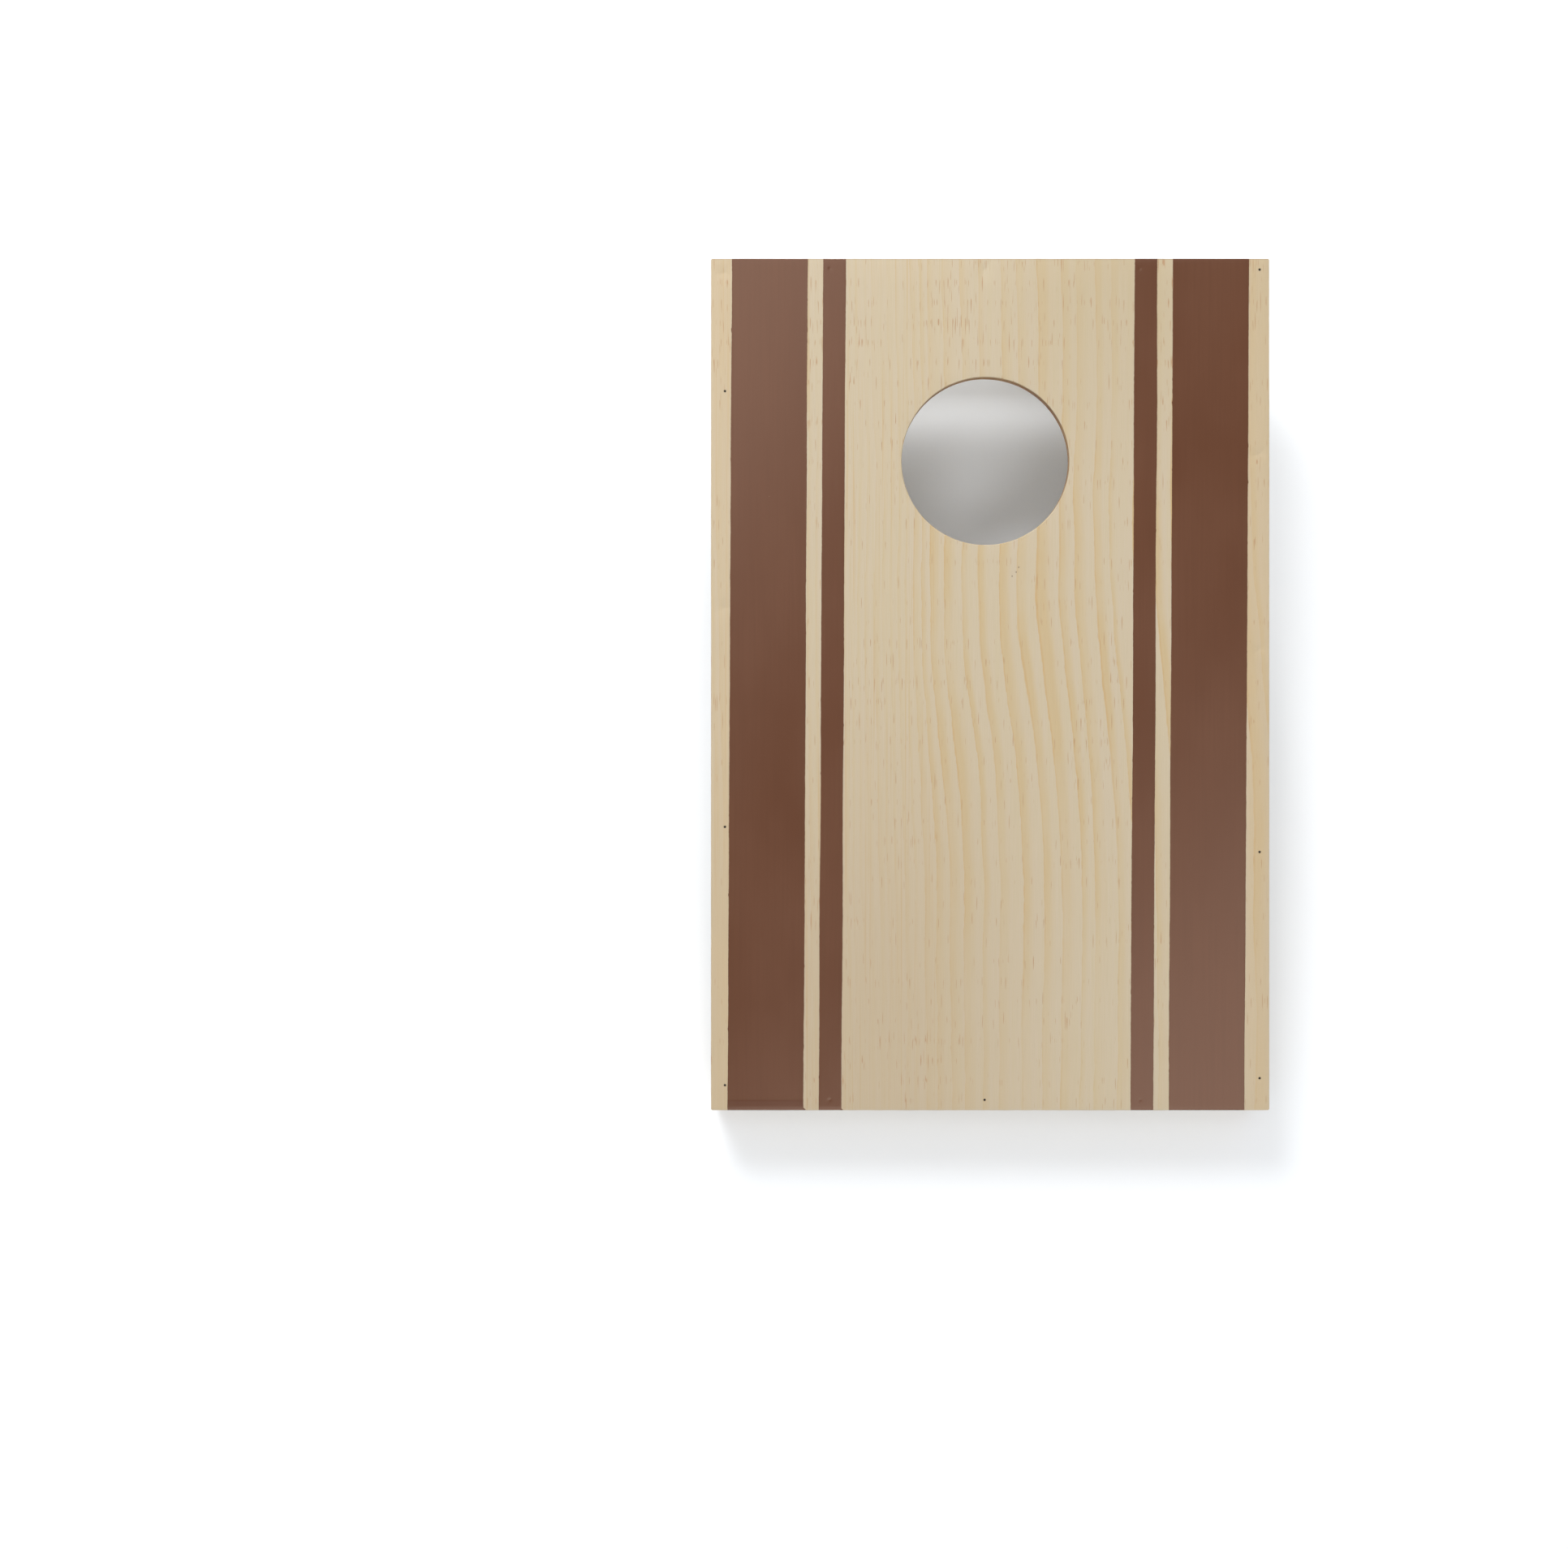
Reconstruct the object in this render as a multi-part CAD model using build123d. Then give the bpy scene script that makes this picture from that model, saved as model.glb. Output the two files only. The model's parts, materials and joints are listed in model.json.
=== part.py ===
from build123d import *
import math
import os

# A folding cornhole board. It is drawn lying flat, as on a bench: X to the right, Y from the
# front edge (0) to the rear edge, and Z down from the playing face (0). At the end every piece
# is tilted and lifted together, so that the board stands on its front edge and its legs.

# ---- Driving dimensions, in millimetres and degrees ----

slope = 10.0  # of the playing face when the legs are out

deck_width = 400.0
deck_length = 610.0
deck_thickness = 9.0
deck_ease = 0.8  # rounding of the playing face's edges and of the hole's rim
hole_diameter = 120.0
hole_from_rear = 145.0  # the hole's centre to the deck's rear edge
hole_off_centre = -3.4  # the hole is bored a little left of the centre line

stripe_film = 0.15  # thickness of the paint
wide_stripe = 54.4
narrow_stripe = 16.3
stripe_gap = 11.0  # bare wood between a wide and a narrow stripe
centre_band = 207.0  # bare wood between the two narrow stripes
stripes_off_centre = -1.1
stripe_lean = 0.15  # degrees that the stripes lean to the right towards the rear

rail_thickness = 15.0
rail_depth = 50.0
rail_ease = 1.0  # rounding of the frame's lower edges and outer corners

leg_thickness = 15.0
leg_width = 36.0
leg_ease = 1.5
leg_stop_gap = 0.3  # between a leg and the rear rail that it comes to rest against
leg_deck_gap = 2.5  # between a leg's rounded top and the deck
stretcher_thickness = 12.0
stretcher_height = 24.0
stretcher_lift = 22.0  # from the foot to the stretcher's lower edge, along the leg
stretcher_ease = 1.0

bolt_diameter = 6.0
bolt_head_overhang = 5.0  # of the head past the shank, all round
bolt_head_height = 3.6
bolt_neck_oversize = 0.4  # of the square under the head, across its flats
bolt_neck_length = 4.0
bolt_recess_depth = 4.2
bolt_recess_clearance = 1.0  # round the head
bolt_point_show = 3.2  # thread that shows past the wing nut
bolt_thread_length = 18.0
thread_pitch = 1.0
thread_depth = 0.5
pivot_clearance = 0.08  # radial, between the bolt and what turns on it

spacer_thickness = 1.5
spacer_width = 6.0  # of a spacer washer, from the bolt outward
washer_thickness = 1.6
washer_width = 6.0
washer_ease = 0.25

nut_hub_height = 8.0
nut_base_wall = 3.5
nut_top_wall = 2.0
nut_base_height = 1.2
wing_thickness = 2.6
wing_tip_radius = 4.0
wing_root_radius = 2.6
wing_span = 33.0
wing_height = 16.5
wing_lift = 0.8  # of the ears above the face that bears on the washer
wing_ease = 0.6

screw_head_diameter = 7.6
screw_diameter = 3.8
frame_screw_length = 35.0
stretcher_screw_length = 32.0
screw_point_length = 5.0
screw_set = 0.2  # head below the wood's surface
screw_spread_frame = 18.0  # between the two screws of a corner
screw_spread_stretcher = 11.0
cross_slot_length = 4.4
cross_slot_width = 0.9
cross_slot_depth = 1.5

brad_diameter = 1.2
brad_head_diameter = 1.6
brad_head_height = 0.6
brad_length = 20.0
brad_set = 0.8  # head below the playing face
left_brad_inset = 10.0  # from the deck's side edge
left_brads_from_front = (18.0, 203.0)
left_brads_from_rear = (10.0, 95.0, 250.0)
right_brad_inset = 7.0
right_brads_from_front = (23.0, 185.0)
right_brads_from_rear = (8.0, 140.0, 280.0)
end_brad_count = 3
end_brad_spacing = 111.0
end_brads_off_centre = -4.0

fastener_clearance = 0.05  # radial, round a screw, a brad or a bolt's neck

# ---- Places worked out from them ----

half_width = deck_width / 2
rail_inner_x = half_width - rail_thickness
rail_mid_x = half_width - rail_thickness / 2
leg_outer_x = rail_inner_x - spacer_thickness
leg_inner_x = leg_outer_x - leg_thickness
washer_inner_x = leg_inner_x - washer_thickness
frame_bottom_z = -deck_thickness - rail_depth
end_rail_ys = (rail_thickness / 2, deck_length - rail_thickness / 2)

hole_centre = (hole_off_centre, deck_length - hole_from_rear)
pivot_y = deck_length - rail_thickness - leg_stop_gap - leg_width / 2
pivot_z = -deck_thickness - leg_deck_gap - leg_width / 2
bolt_radius = bolt_diameter / 2
bolt_head_radius = bolt_radius + bolt_head_overhang
bolt_neck_side = bolt_diameter + bolt_neck_oversize
bolt_seat_x = half_width - bolt_recess_depth  # where the underside of the head bears
bolt_end_x = washer_inner_x - nut_hub_height - bolt_point_show

tilt_sin = math.sin(math.radians(slope))
tilt_cos = math.cos(math.radians(slope))
# The frame stands on its rounded lower front edge.
lift = rail_ease - rail_ease * tilt_sin - (frame_bottom_z + rail_ease) * tilt_cos
leg_length = (lift + pivot_y * tilt_sin + pivot_z * tilt_cos) / tilt_cos  # pivot to floor
stretcher_z = pivot_z - leg_length + stretcher_lift + stretcher_height / 2


def along_the_side(from_front, from_rear):
    return list(from_front) + [deck_length - y for y in reversed(from_rear)]


left_brad_places = [
    (left_brad_inset - half_width, y)
    for y in along_the_side(left_brads_from_front, left_brads_from_rear)
]
right_brad_places = [
    (half_width - right_brad_inset, y)
    for y in along_the_side(right_brads_from_front, right_brads_from_rear)
]
end_brad_xs = [
    end_brads_off_centre + (i - (end_brad_count - 1) / 2) * end_brad_spacing
    for i in range(end_brad_count)
]
front_brad_places, rear_brad_places = [[(x, y) for x in end_brad_xs] for y in end_rail_ys]
brad_places = left_brad_places + right_brad_places + front_brad_places + rear_brad_places

frame_screw_zs = [
    -deck_thickness - rail_depth / 2 + side * screw_spread_frame / 2 for side in (1, -1)
]
stretcher_screw_zs = [stretcher_z + side * screw_spread_stretcher / 2 for side in (1, -1)]


# ---- Small helpers ----

def rod(radius, start, end):
    """A cylinder between two points."""
    line = Vector(*end) - Vector(*start)
    plane = Plane(origin=start, z_dir=line)
    return plane * Cylinder(radius, line.length, align=(Align.CENTER, Align.CENTER, Align.MIN))


def turned(profile):
    """A solid turned about Z from a list of (radius, height) points."""
    return revolve(make_face(Polyline(*[(r, 0, h) for r, h in profile], close=True)), Axis.Z)


def inward_at(x, y, z):
    """Puts a piece drawn along +Z on the right side of the board, pointing inward along -X."""
    return Plane(origin=(x, y, z), x_dir=(0, 1, 0), z_dir=(-1, 0, 0))


def left_of(piece):
    """The mirror image on the left side of the board."""
    return mirror(piece, about=Plane.YZ)


def group(pieces):
    return Compound([solid for piece in pieces for solid in piece.solids()])


# ---- Deck and its stripes ----

def deck_panel():
    panel = Pos(0, deck_length / 2, -deck_thickness / 2) * Box(deck_width, deck_length, deck_thickness)
    panel -= Pos(*hole_centre, -deck_thickness / 2) * Cylinder(hole_diameter / 2, deck_thickness)
    panel = fillet(panel.faces().sort_by(Axis.Z)[-1].edges(), deck_ease)
    for x, y in brad_places:
        panel -= brad_hole(x, y)
    return panel


def stripe(from_centre, width):
    """One painted stripe: a thin film on the playing face, leaning a little to the right."""
    reach = deck_length / 2 - deck_ease
    shift = reach * math.tan(math.radians(stripe_lean))
    inner, outer = from_centre - width / 2, from_centre + width / 2
    outline = Polyline(
        (inner - shift, -reach), (outer - shift, -reach),
        (outer + shift, reach), (inner + shift, reach), close=True,
    )
    film = extrude(make_face(outline), stripe_film)
    return Pos(stripes_off_centre, deck_length / 2, 0) * film


narrow_from_centre = (centre_band + narrow_stripe) / 2
wide_from_centre = centre_band / 2 + narrow_stripe + stripe_gap + wide_stripe / 2


# ---- Frame ----

def side_rail():
    """The right side rail, which runs the whole length of the board, without its brad holes."""
    rail = Box(rail_thickness, deck_length, rail_depth)
    lower_edges = rail.faces().sort_by(Axis.Z)[0].edges()
    outer_corners = rail.edges().filter_by(Axis.Z).sort_by(Axis.X)[2:]
    rail = fillet(lower_edges + outer_corners, rail_ease)
    rail = Pos(rail_mid_x, deck_length / 2, -deck_thickness - rail_depth / 2) * rail
    for y in end_rail_ys:
        for z in frame_screw_zs:
            rail -= screw_hole(half_width, y, z, frame_screw_length)
    head_room = bolt_head_radius + bolt_recess_clearance
    rail -= rod(head_room, (half_width, pivot_y, pivot_z), (bolt_seat_x, pivot_y, pivot_z))
    rail -= rod(bolt_radius + pivot_clearance, (half_width, pivot_y, pivot_z), (0, pivot_y, pivot_z))
    neck = bolt_neck_side + 2 * fastener_clearance
    rail -= inward_at(bolt_seat_x, pivot_y, pivot_z) * Box(
        neck, neck, bolt_neck_length, align=(Align.CENTER, Align.CENTER, Align.MIN)
    )
    return rail


def nailed(rail, places):
    """A rail with the holes of its brads."""
    for x, y in places:
        rail -= brad_hole(x, y)
    return rail


def end_rail(y):
    """The front or rear rail, which fits between the side rails, without its brad holes."""
    rail = Box(2 * rail_inner_x, rail_thickness, rail_depth)
    rail = fillet(rail.edges().filter_by(Axis.X).sort_by(Axis.Z)[:2], rail_ease)
    rail = Pos(0, y, -deck_thickness - rail_depth / 2) * rail
    for z in frame_screw_zs:
        hole = screw_hole(half_width, y, z, frame_screw_length)
        rail -= hole
        rail -= left_of(hole)
    return rail


# ---- Legs ----

def leg():
    """The right leg, still longer than it needs to be."""
    over_length = leg_length + leg_width
    outline = Pos(0, -over_length / 2) * Rectangle(leg_width, over_length) + Circle(leg_width / 2)
    blank = extrude(Plane.YZ * outline, leg_thickness / 2, both=True)
    blank = fillet(blank.faces().filter_by(Axis.X).edges(), leg_ease)
    blank = Pos(leg_outer_x - leg_thickness / 2, pivot_y, pivot_z) * blank
    blank -= rod(bolt_radius + pivot_clearance, (half_width, pivot_y, pivot_z), (0, pivot_y, pivot_z))
    for z in stretcher_screw_zs:
        blank -= screw_hole(leg_outer_x, pivot_y, z, stretcher_screw_length)
    return blank


def leg_stretcher():
    """The bar between the legs, which makes them fold as one."""
    bar = Box(2 * leg_inner_x, stretcher_thickness, stretcher_height)
    bar = fillet(bar.edges().filter_by(Axis.X), stretcher_ease)
    bar = Pos(0, pivot_y, stretcher_z) * bar
    for z in stretcher_screw_zs:
        hole = screw_hole(leg_outer_x, pivot_y, z, stretcher_screw_length)
        bar -= hole
        bar -= left_of(hole)
    return bar


# ---- Pivot hardware ----

def pivot_bolt():
    """A carriage bolt: domed head, square neck and rolled thread."""
    length = bolt_seat_x - bolt_end_x
    dome_radius = (bolt_head_radius**2 + bolt_head_height**2) / (2 * bolt_head_height)
    dome = Pos(0, 0, dome_radius - bolt_head_height) * Sphere(dome_radius)
    dome &= rod(bolt_head_radius, (0, 0, -bolt_head_height), (0, 0, 0))
    neck = Box(
        bolt_neck_side, bolt_neck_side, bolt_neck_length,
        align=(Align.CENTER, Align.CENTER, Align.MIN),
    )
    root_radius = bolt_radius - thread_depth
    profile = [(0, 0), (bolt_radius, 0)]
    turns = int(bolt_thread_length / thread_pitch)
    for i in range(turns):
        crest = length - bolt_thread_length + i * thread_pitch
        profile += [
            (bolt_radius, crest),
            (root_radius, crest + 0.5 * thread_pitch),
            (bolt_radius, crest + 0.95 * thread_pitch),
        ]
    profile += [(root_radius, length), (0, length)]
    bolt = dome + neck + turned(profile)
    return inward_at(bolt_seat_x, pivot_y, pivot_z) * bolt


def ring(width, thickness, outer_x):
    """A washer on the pivot bolt, from outer_x inward."""
    hole_radius = bolt_radius + pivot_clearance
    radius = bolt_radius + width
    profile = [
        (hole_radius, 0), (radius - washer_ease, 0), (radius, washer_ease),
        (radius, thickness - washer_ease), (radius - washer_ease, thickness), (hole_radius, thickness),
    ]
    return inward_at(outer_x, pivot_y, pivot_z) * turned(profile)


def wing_nut():
    """A cast wing nut: a tapered hub with two ears that lean outward."""
    base, top = bolt_radius + nut_base_wall, bolt_radius + nut_top_wall
    tip = Pos(wing_span / 2 - wing_tip_radius, wing_height - wing_tip_radius) * Circle(wing_tip_radius)
    root = Pos(top - wing_root_radius / 2, wing_root_radius + wing_lift) * Circle(wing_root_radius)
    lobe = make_hull((tip + root).edges())
    wing = extrude(Plane.XZ * lobe, wing_thickness / 2, both=True)
    wing = fillet(wing.faces().filter_by(Axis.Y).edges(), wing_ease)
    hub = turned([
        (0, 0), (base - washer_ease, 0), (base, washer_ease), (base, nut_base_height),
        (top, nut_hub_height - washer_ease), (top - washer_ease, nut_hub_height), (0, nut_hub_height),
    ])
    nut = hub + wing + Rot(0, 0, 180) * wing
    nut -= rod(bolt_radius + pivot_clearance, (0, 0, -1), (0, 0, wing_height))
    return inward_at(washer_inner_x, pivot_y, pivot_z) * nut


# ---- Screws and brads ----

def screw_hole(x, y, z, length):
    """The hole for a right-hand screw driven inward from x, with its countersink."""
    radius = screw_diameter / 2 + fastener_clearance
    head_radius = screw_head_diameter / 2 + fastener_clearance
    cone = head_radius - radius
    profile = [
        (0, 0), (head_radius, 0), (head_radius, screw_set), (radius, screw_set + cone),
        (radius, screw_set + length - screw_point_length + fastener_clearance),
        (0, screw_set + length + fastener_clearance),
    ]
    return inward_at(x, y, z) * turned(profile)


def screw(x, y, z, length):
    """A countersunk wood screw with a cross slot, driven inward from x."""
    radius, head_radius = screw_diameter / 2, screw_head_diameter / 2
    body = turned([
        (0, 0), (head_radius, 0), (radius, head_radius - radius),
        (radius, length - screw_point_length), (0, length),
    ])
    for turn in (0, 90):
        body -= Rot(0, 0, turn) * Box(
            cross_slot_length, cross_slot_width, 2 * cross_slot_depth
        )
    return inward_at(x - screw_set, y, z) * body


def brad_hole(x, y):
    """The hole that a set brad leaves: wide down to its head, then as thin as its wire."""
    head_radius = brad_head_diameter / 2 + fastener_clearance
    radius = brad_diameter / 2 + fastener_clearance
    depth = brad_set + brad_head_height
    hole = rod(head_radius, (x, y, 0), (x, y, -depth))
    return hole + rod(radius, (x, y, 0), (x, y, -brad_set - brad_length - fastener_clearance))


def brads(places):
    head_bottom = -brad_set - brad_head_height
    point = -brad_set - brad_length
    return group([
        rod(brad_head_diameter / 2, (x, y, -brad_set), (x, y, head_bottom))
        + rod(brad_diameter / 2, (x, y, head_bottom), (x, y, point))
        for x, y in places
    ])


def screws_of_both_sides(x, y, heights, length):
    right = [screw(x, y, z, length) for z in heights]
    return group(right + [left_of(one) for one in right])


# ---- Standing on the floor ----

def on_the_floor(piece):
    """Tilts a piece and lifts it, so that the floor is Z = 0."""
    return Pos(0, 0, lift) * Rot(slope, 0, 0) * piece


def cut_at_floor(piece):
    """Saws a leg off level with the floor."""
    size = 4 * (deck_length + deck_width)
    floor = Box(size, size, size, align=(Align.CENTER, Align.CENTER, Align.MAX))
    return piece - floor


def flat_pieces():
    """Every node but the legs, lying flat."""
    rail, bolt, nut = side_rail(), pivot_bolt(), wing_nut()
    spacer = ring(spacer_width, spacer_thickness, rail_inner_x)
    washer = ring(washer_width, washer_thickness, leg_inner_x)
    front_y, rear_y = end_rail_ys
    return {
        "deck_panel": deck_panel(),
        "left_wide_stripe": stripe(-wide_from_centre, wide_stripe),
        "left_narrow_stripe": stripe(-narrow_from_centre, narrow_stripe),
        "right_narrow_stripe": stripe(narrow_from_centre, narrow_stripe),
        "right_wide_stripe": stripe(wide_from_centre, wide_stripe),
        "left_side_rail": nailed(left_of(rail), left_brad_places),
        "right_side_rail": nailed(rail, right_brad_places),
        "front_rail": nailed(end_rail(front_y), front_brad_places),
        "rear_rail": nailed(end_rail(rear_y), rear_brad_places),
        "left_pivot_bolt": left_of(bolt),
        "right_pivot_bolt": bolt,
        "left_spacer_washer": left_of(spacer),
        "right_spacer_washer": spacer,
        "left_nut_washer": left_of(washer),
        "right_nut_washer": washer,
        "left_wing_nut": left_of(nut),
        "right_wing_nut": nut,
        "leg_stretcher": leg_stretcher(),
        "front_frame_screws": screws_of_both_sides(
            half_width, front_y, frame_screw_zs, frame_screw_length),
        "rear_frame_screws": screws_of_both_sides(
            half_width, rear_y, frame_screw_zs, frame_screw_length),
        "stretcher_screws": screws_of_both_sides(
            leg_outer_x, pivot_y, stretcher_screw_zs, stretcher_screw_length),
        "left_side_brads": brads(left_brad_places),
        "right_side_brads": brads(right_brad_places),
        "front_brads": brads(front_brad_places),
        "rear_brads": brads(rear_brad_places),
    }


def standing_pieces():
    """Every node as it stands, with the origin on the floor under the middle of the board."""
    placed = {name: on_the_floor(piece) for name, piece in flat_pieces().items()}
    right_leg = cut_at_floor(on_the_floor(leg()))
    placed["right_leg"] = right_leg
    placed["left_leg"] = left_of(right_leg)
    box = group(placed.values()).bounding_box()
    middle = (box.min.Y + box.max.Y) / 2
    print(f"origin {middle:.4f} mm behind the front edge, lift {lift:.4f}, leg length {leg_length:.4f}")
    return {name: Pos(0, -middle, 0) * piece for name, piece in placed.items()}


os.makedirs("parts", exist_ok=True)
for name, piece in standing_pieces().items():
    export_step(piece, f"parts/{name}.step")
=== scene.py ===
import functools
import json
import math

import bmesh
import bpy
from mathutils import Matrix, Vector, geometry, noise


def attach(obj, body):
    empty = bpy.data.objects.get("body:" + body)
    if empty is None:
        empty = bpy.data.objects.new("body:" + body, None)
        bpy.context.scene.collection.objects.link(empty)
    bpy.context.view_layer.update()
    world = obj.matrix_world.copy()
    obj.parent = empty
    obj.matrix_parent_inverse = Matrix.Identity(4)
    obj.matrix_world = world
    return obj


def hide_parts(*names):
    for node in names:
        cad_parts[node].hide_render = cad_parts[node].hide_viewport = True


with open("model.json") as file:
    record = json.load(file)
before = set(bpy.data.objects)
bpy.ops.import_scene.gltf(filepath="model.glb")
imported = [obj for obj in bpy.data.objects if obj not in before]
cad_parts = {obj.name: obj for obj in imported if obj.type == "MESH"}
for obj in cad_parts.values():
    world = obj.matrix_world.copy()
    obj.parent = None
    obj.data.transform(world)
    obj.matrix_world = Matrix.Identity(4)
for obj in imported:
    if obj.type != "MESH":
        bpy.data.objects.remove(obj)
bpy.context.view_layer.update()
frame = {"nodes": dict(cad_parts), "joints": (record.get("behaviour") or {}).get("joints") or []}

# Sizes are in millimetres and are turned into metres when a mesh or a node takes them.
# Most pieces are built flat, as on a bench: X to the right, Y from the deck's front edge to
# its rear edge, Z up from the playing face. DECK then tilts them with the board.
MM = 0.001

SLOPE = math.radians(10)
DECK_WIDTH = 400.0
DECK_LENGTH = 610.0
DECK_THICKNESS = 9.0
DECK_EASE = 0.8
HALF_WIDTH = DECK_WIDTH / 2
HOLE_CENTRE = (-3.4, 465.0)
HOLE_RADIUS = 60.0
PIVOT = (576.7, -29.5)  # along the deck and below its face
GLUE_LINES = (1.2, 3.3, 5.7, 7.8)  # depths of the glue between the plies
STRIPES_OFF_CENTRE = -1.45  # the four stripes sit a little left of the deck's middle

pivot_joint = next(j for j in frame["joints"] if j["name"] == "leg_fold")
PIVOT_IN_ROW = Vector(pivot_joint["pos_m"])
TILT = Matrix.Rotation(SLOPE, 4, "X")
DECK = Matrix.Translation(PIVOT_IN_ROW - TILT @ Vector((0, PIVOT[0], PIVOT[1])) * MM) @ TILT


def linear(red, green, blue):
    """A display colour, 0 to 255, as the linear colour that shaders take."""
    def one(value):
        value /= 255
        return value / 12.92 if value <= 0.04045 else ((value + 0.055) / 1.055) ** 2.4

    return (one(red), one(green), one(blue), 1.0)


# ---------------------------------------------------------------- materials


class Nodes:
    """Short names for the nodes that the materials and the surroundings are built from."""

    def __init__(self, tree):
        self.tree = tree

    def node(self, kind, **settings):
        made = self.tree.nodes.new(kind)
        for key, value in settings.items():
            setattr(made, key, value)
        return made

    def feed(self, socket, value):
        if isinstance(value, bpy.types.NodeSocket):
            self.tree.links.new(value, socket)
        else:
            socket.default_value = value

    def math(self, operation, *values):
        made = self.node("ShaderNodeMath", operation=operation)
        for socket, value in zip(made.inputs, values):
            self.feed(socket, value)
        return made.outputs[0]

    def add(self, *values):
        return functools.reduce(lambda total, value: self.math("ADD", total, value), values)

    def times(self, *values):
        return functools.reduce(lambda total, value: self.math("MULTIPLY", total, value), values)

    def swing(self, noise, reach):
        """Noise moved to swing about zero, across this reach."""
        return self.times(self.add(noise, -0.5), reach)

    def distance(self, a, b):
        return self.math("SQRT", self.add(self.times(a, a), self.times(b, b)))

    def step(self, value, start, end, low=0.0, high=1.0, smooth=True):
        """low up to start, high past end, and a gentle change between. With the end before
        the start it runs the other way."""
        kind = "SMOOTHSTEP" if smooth else "LINEAR"
        made = self.node("ShaderNodeMapRange", interpolation_type=kind)
        self.feed(made.inputs["Value"], value)
        made.inputs["From Min"].default_value = start
        made.inputs["From Max"].default_value = end
        made.inputs["To Min"].default_value = low
        made.inputs["To Max"].default_value = high
        return made.outputs[0]

    def vector(self, x, y, z):
        made = self.node("ShaderNodeCombineXYZ")
        for socket, value in zip(made.inputs, (x, y, z)):
            self.feed(socket, value)
        return made.outputs[0]

    def stretched(self, *parts):
        """A place in noise. Each part is a number, or a value with its scale in lumps to a unit."""
        return self.vector(*[self.times(*part) if isinstance(part, tuple) else part for part in parts])

    def parts(self, vector):
        made = self.node("ShaderNodeSeparateXYZ")
        self.feed(made.inputs[0], vector)
        return made.outputs[0], made.outputs[1], made.outputs[2]

    def noise(self, *place, detail=2.0, roughness=0.5):
        """Smooth noise about 0.5, at a place given in three parts as stretched() takes them."""
        made = self.node("ShaderNodeTexNoise")
        self.feed(made.inputs["Vector"], self.stretched(*place))
        made.inputs["Scale"].default_value = 1.0
        made.inputs["Detail"].default_value = detail
        made.inputs["Roughness"].default_value = roughness
        return made.outputs[0]

    def mix(self, amount, first, second):
        made = self.node("ShaderNodeMix", data_type="RGBA")
        self.feed(made.inputs[0], amount)
        self.feed(made.inputs[6], first)
        self.feed(made.inputs[7], second)
        return made.outputs[2]


class Shader(Nodes):
    """A material whose surface the node helpers feed."""

    def __init__(self, name):
        self.material = bpy.data.materials.new(name)
        self.material.use_nodes = True
        super().__init__(self.material.node_tree)
        self.tree.nodes.clear()
        self.surface = self.node("ShaderNodeBsdfPrincipled")
        output = self.node("ShaderNodeOutputMaterial")
        self.tree.links.new(self.surface.outputs[0], output.inputs["Surface"])

    def flat_millimetres(self, tilted):
        """The point in millimetres in the flat board's coordinates. Tilted is for pieces that
        are modelled as they stand, and not flat."""
        point = self.node("ShaderNodeTexCoord").outputs["Object"]
        if tilted:
            back = DECK.inverted()
            made = self.node("ShaderNodeMapping", vector_type="POINT")
            self.feed(made.inputs["Vector"], point)
            made.inputs["Rotation"].default_value = back.to_euler()
            made.inputs["Location"].default_value = back.translation
            point = made.outputs[0]
        made = self.node("ShaderNodeVectorMath", operation="SCALE")
        self.feed(made.inputs[0], point)
        made.inputs["Scale"].default_value = 1 / MM
        return made.outputs[0]

    def finish(self, colour, roughness, height=None, depth=0.1, metallic=0.0):
        """Sets the surface. Height is in units of depth, which is in millimetres."""
        self.feed(self.surface.inputs["Base Color"], colour)
        self.feed(self.surface.inputs["Roughness"], roughness)
        self.surface.inputs["Metallic"].default_value = metallic
        if height is not None:
            made = self.node("ShaderNodeBump")
            made.inputs["Strength"].default_value = 1.0
            made.inputs["Distance"].default_value = depth * MM
            self.feed(made.inputs["Height"], height)
            self.tree.links.new(made.outputs[0], self.surface.inputs["Normal"])
        return self.material


# Bare pine, from its pale early wood to the dark line that ends each ring.
EARLYWOOD = linear(184, 170, 147)
LATEWOOD = linear(182, 160, 121)
LATE_LINE = linear(180, 146, 92)
WARM_WOOD = linear(183, 168, 136)
RESIN = linear(160, 118, 78)

# Tones of the deck's face, its back and its edges.
STAIN = linear(172, 152, 116)
# Painted shade: darker, browner tones for the front left and rear right corners, away from the light.
FRONT_LEFT_SHADE = linear(166, 145, 114)
REAR_RIGHT_SHADE = linear(172, 155, 120)
MARGIN_TONE = linear(186, 163, 128)
FACE_FIBRE = linear(165, 147, 117)
# A painted shade: the dark line on the rounded rear edge.
REAR_EDGE_SHADE = linear(120, 104, 84)
PIN_HOLE = linear(70, 52, 38)
BACK_PALE, BACK_DARK, BACK_BROWN = linear(158, 142, 118), linear(146, 128, 100), linear(132, 112, 86)
CORE_PALE, CORE_DARK = linear(196, 160, 112), linear(168, 128, 84)
CORE_END_PALE, CORE_END_DARK = linear(150, 110, 72), linear(112, 78, 48)
GLUE = linear(84, 56, 36)

# Tones of the frame's solid pine.
PINE_WARM, PINE_FIBRE = linear(198, 170, 128), linear(172, 142, 102)
END_GRAIN, END_RING, END_PORE = linear(188, 150, 104), linear(150, 104, 62), linear(128, 92, 58)

PAINT, PAINT_CLOUD, PAINT_ROLLED = linear(88, 53, 34), linear(92, 57, 38), linear(85, 51, 33)
SECOND_COAT = linear(81, 46, 31)
PAINT_SPECK = linear(196, 172, 150)
PAINT_SHEEN = (1.0, 0.8, 0.68, 1.0)

PIN_MARKS = ((18.6, 385.4), (15.7, 382.5), (20.4, 388.9))  # on the deck, just below the hole
PLY_BLUR = 0.05  # half the width of the change from one ply to the next
GLUE_HALF = 0.13


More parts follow.
